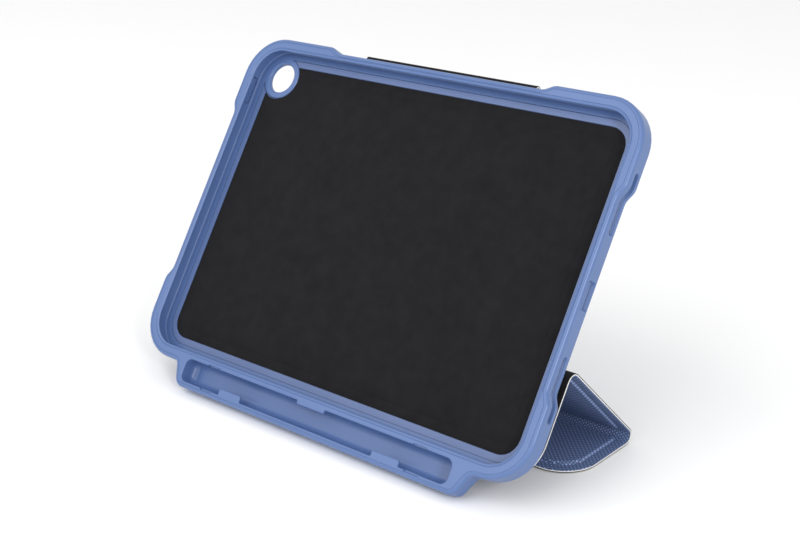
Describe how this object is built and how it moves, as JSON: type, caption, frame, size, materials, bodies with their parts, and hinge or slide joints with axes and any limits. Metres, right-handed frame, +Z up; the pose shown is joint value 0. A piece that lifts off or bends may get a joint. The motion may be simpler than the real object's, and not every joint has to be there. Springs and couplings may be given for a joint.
{
  "type": "tablet case",
  "caption": "Rugged folio case for a tablet: soft bumper with cushioned corners and pen trough, cover folded behind it as a triangular stand, closing tab.",
  "frame": {"origin": "middle of the bounding box's bottom face: on the table, midway between the short ends and midway from front to back", "axes": "+X to the right seen from the front, +Y from the front to the back, +Z up"},
  "size_m": [0.2586, 0.1216, 0.1736],
  "materials": {
    "bumper_soft": "satin",
    "plate_hard": "satin",
    "cover_skin": "matte",
    "lining": "matte",
    "board": "matte",
    "magnet": "satin"
  },
  "bodies": {
    "tray": {"bumper": "bumper_soft", "back_plate": "plate_hard", "floor_pad": "lining", "magnet_keeper": "magnet", "back_panel_skin": "cover_skin", "tab_root_lining": "lining", "tab_root_skin": "cover_skin"},
    "volume_1": {"volume_cover_1": "bumper_soft"},
    "volume_2": {"volume_cover_2": "bumper_soft"},
    "power": {"power_cover": "bumper_soft"},
    "spine_back": {"spine_back_skin": "cover_skin", "spine_back_lining": "lining"},
    "spine_bottom": {"spine_bottom_skin": "cover_skin", "spine_bottom_lining": "lining"},
    "panel_1": {"panel_1_board": "board", "panel_1_lining": "lining", "panel_1_skin": "cover_skin"},
    "panel_2": {"panel_2_board": "board", "panel_2_lining": "lining", "panel_2_skin": "cover_skin", "panel_2_wake_magnet_1": "magnet"},
    "panel_3": {"panel_3_board": "board", "panel_3_lining": "lining", "panel_3_magnet_1": "magnet", "panel_3_magnet_2": "magnet", "panel_3_magnet_3": "magnet", "panel_3_skin": "cover_skin"},
    "tab_strap": {"tab_strap_lining": "lining", "tab_strap_skin": "cover_skin"},
    "tab_flap": {"tab_flap_lining": "lining", "tab_flap_skin": "cover_skin", "tab_magnet_1": "magnet", "tab_magnet_2": "magnet"}
  },
  "joints": [
    {"name": "spine_root_crease", "type": "hinge", "parent": "tray", "child": "spine_back", "pos_m": [0, -0.04428, 0.0095], "axis": [1, 0, 0], "range_deg": [-84, 0]},
    {"name": "spine_bottom_crease", "type": "hinge", "parent": "spine_back", "child": "spine_bottom", "pos_m": [0, -0.03326, 0.0007], "axis": [1, 0, 0], "range_deg": [-128, 0]},
    {"name": "spine_front_crease", "type": "hinge", "parent": "spine_bottom", "child": "panel_1", "pos_m": [0, -0.01916, 0.0007], "axis": [1, 0, 0], "range_deg": [-90, 0]},
    {"name": "bottom_fold", "type": "hinge", "parent": "panel_1", "child": "panel_2", "pos_m": [0, 0.04626, 0.00297], "axis": [1, 0, 0], "range_deg": [-137, 0]},
    {"name": "top_fold", "type": "hinge", "parent": "panel_2", "child": "panel_3", "pos_m": [0, -0.00998, 0.05569], "axis": [1, 0, 0], "range_deg": [0, 80]},
    {"name": "tab_hairpin", "type": "hinge", "parent": "tray", "child": "tab_strap", "pos_m": [0, 0.06031, 0.16902], "axis": [1, 0, 0], "range_deg": [0, 270]},
    {"name": "tab_crease", "type": "hinge", "parent": "tab_strap", "child": "tab_flap", "pos_m": [0, 0.05237, 0.15387], "axis": [1, 0, 0], "range_deg": [0, 90]},
    {"name": "volume_1_press", "type": "slide", "parent": "tray", "child": "volume_1", "axis": [0, -0.5426, -0.84], "range_m": [0, 0.0004], "stiffness_N_per_m": 4000},
    {"name": "volume_2_press", "type": "slide", "parent": "tray", "child": "volume_2", "axis": [0, -0.5426, -0.84], "range_m": [0, 0.0004], "stiffness_N_per_m": 4000},
    {"name": "power_press", "type": "slide", "parent": "tray", "child": "power", "axis": [1, 0, 0], "range_m": [0, 0.0004], "stiffness_N_per_m": 4000}
  ],
  "couplings": [
    {"joint": "top_fold", "follows": "bottom_fold", "ratio": -0.58}
  ]
}
